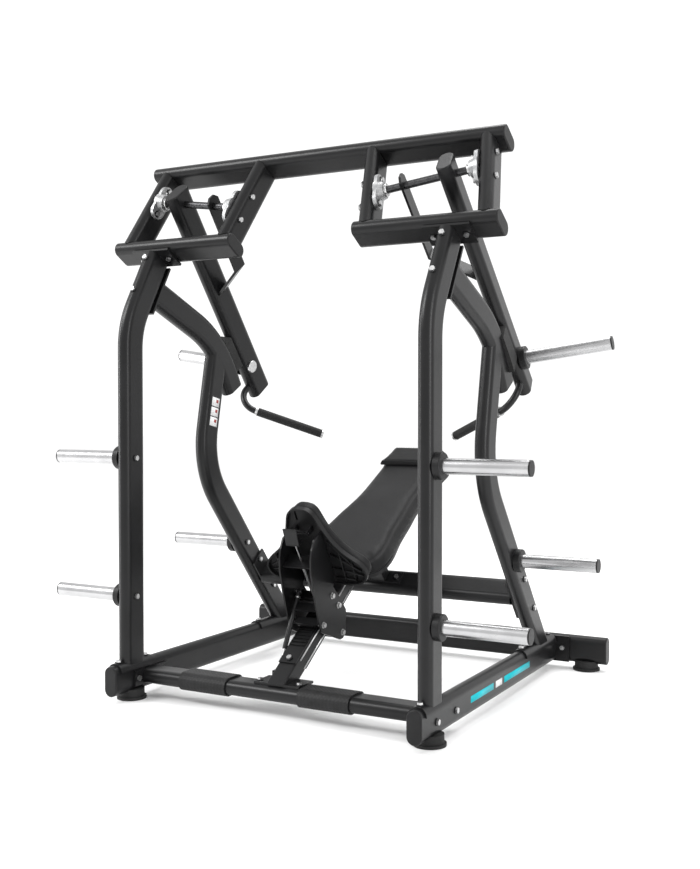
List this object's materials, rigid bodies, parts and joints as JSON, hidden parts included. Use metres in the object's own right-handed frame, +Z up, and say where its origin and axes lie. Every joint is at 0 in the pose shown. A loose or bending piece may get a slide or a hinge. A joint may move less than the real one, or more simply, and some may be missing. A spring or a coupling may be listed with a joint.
{
  "type": "lever chest press machine",
  "caption": "Plate-loaded lying press frame with independent swinging levers, a sloping back pad and a sliding saddle seat",
  "frame": {"origin": "on the floor, at the middle of the bounding box's base", "axes": "+X to the right as seen by someone facing the front of the machine, +Y to the rear (where the user's head lies), +Z up"},
  "size_m": [1.8292, 1.3239, 1.8976],
  "materials": {
    "frame_paint": "satin black powder coat",
    "plastic_black": "moulded, fine grain",
    "rubber_black": "matte",
    "horn_chrome": "satin plated tube",
    "bright_steel": "zinc-plated",
    "bearing_iron": "silver paint on castings",
    "upholstery": "black vinyl, fine grain",
    "washer_black": "black oxide",
    "gas_black": "gloss black"
  },
  "bodies": {
    "frame": {"arch_left": "frame_paint", "arch_right": "frame_paint", "back_pad": "upholstery", "backrest_board": "plastic_black", "backrest_spine": "frame_paint", "backrest_strut": "frame_paint", "base_rail_left": "frame_paint", "base_rail_right": "frame_paint", "bearing_housings": "bearing_iron", "bearing_tubes": "frame_paint", "flange_plates": "frame_paint", "foot_grips": "rubber_black", "foot_pads": "rubber_black", "frame_bolts": "bright_steel", "frame_washers": "washer_black", "front_beams": "frame_paint", "front_crossbar": "frame_paint", "front_upright_left": "frame_paint", "front_upright_right": "frame_paint", "headrest_pad": "upholstery", "lever_stops": "rubber_black", "post_bracket": "frame_paint", "post_wear_strip": "plastic_black", "rear_crossbar": "frame_paint", "rear_upright_left": "frame_paint", "rear_upright_right": "frame_paint", "seat_post": "frame_paint", "seat_rack": "frame_paint", "storage_horn_trim": "plastic_black", "storage_horns": "horn_chrome", "top_beam": "frame_paint", "tube_end_caps": "plastic_black", "upper_crossbar": "frame_paint", "upright_saddles": "frame_paint"},
    "left_lever": {"axle_left": "bright_steel", "hand_grip_left": "rubber_black", "handle_left": "frame_paint", "lever_brace_left": "frame_paint", "lever_fittings_left": "bright_steel", "lever_left": "frame_paint", "lever_trim_left": "plastic_black", "load_horn_left": "horn_chrome"},
    "right_lever": {"axle_right": "bright_steel", "hand_grip_right": "rubber_black", "handle_right": "frame_paint", "lever_brace_right": "frame_paint", "lever_fittings_right": "bright_steel", "lever_right": "frame_paint", "lever_trim_right": "plastic_black", "load_horn_right": "horn_chrome"},
    "seat_carriage": {"carriage_sides": "frame_paint", "guide_rollers": "plastic_black", "carriage_cross_plates": "frame_paint", "carriage_bolts": "bright_steel", "seat_shell": "plastic_black", "seat_cushion": "upholstery"},
    "release_paddle": {"release_paddle": "frame_paint"},
    "lock_pin": {"lock_pin": "bright_steel"},
    "gas_cylinder": {"gas_cylinder": "gas_black"},
    "gas_rod": {"gas_rod": "bright_steel"}
  },
  "joints": [
    {"name": "left_lever_swing", "type": "hinge", "parent": "frame", "child": "left_lever", "pos_m": [-0.5257, -0.31494, 1.74188], "axis": [0.986, -0.0834, -0.1444], "range_deg": [0, 45]},
    {"name": "right_lever_swing", "type": "hinge", "parent": "frame", "child": "right_lever", "pos_m": [0.5257, -0.31494, 1.74188], "axis": [0.986, 0.0834, 0.1444], "range_deg": [0, 45]},
    {"name": "seat_slide", "type": "slide", "parent": "frame", "child": "seat_carriage", "axis": [0, 0.829, 0.5592], "range_m": [-0.062, 0]},
    {"name": "release_paddle_swing", "type": "hinge", "parent": "seat_carriage", "child": "release_paddle", "pos_m": [0, -0.354, 0.585], "axis": [1, 0, 0], "range_deg": [-13.6, 0], "stiffness_Nm_per_rad": 1.2, "springref_deg": 8.59},
    {"name": "lock_pin_lift", "type": "slide", "parent": "seat_carriage", "child": "lock_pin", "axis": [0, -0.5592, 0.829], "range_m": [0, 0.0125]},
    {"name": "gas_cylinder_tilt", "type": "hinge", "parent": "seat_carriage", "child": "gas_cylinder", "pos_m": [-0.0455, -0.289, 0.374], "axis": [1, 0, 0], "range_deg": [0, 7.1]},
    {"name": "gas_rod_tilt", "type": "hinge", "parent": "frame", "child": "gas_rod", "pos_m": [-0.0455, -0.4256, 0.1159], "axis": [1, 0, 0], "range_deg": [0, 7.1]}
  ],
  "couplings": [
    {"joint": "lock_pin_lift", "follows": "release_paddle_swing", "m_per_rad": -0.0505},
    {"joint": "gas_cylinder_tilt", "follows": "seat_slide", "rad_per_m": -1.973},
    {"joint": "gas_rod_tilt", "follows": "seat_slide", "rad_per_m": -1.973}
  ]
}
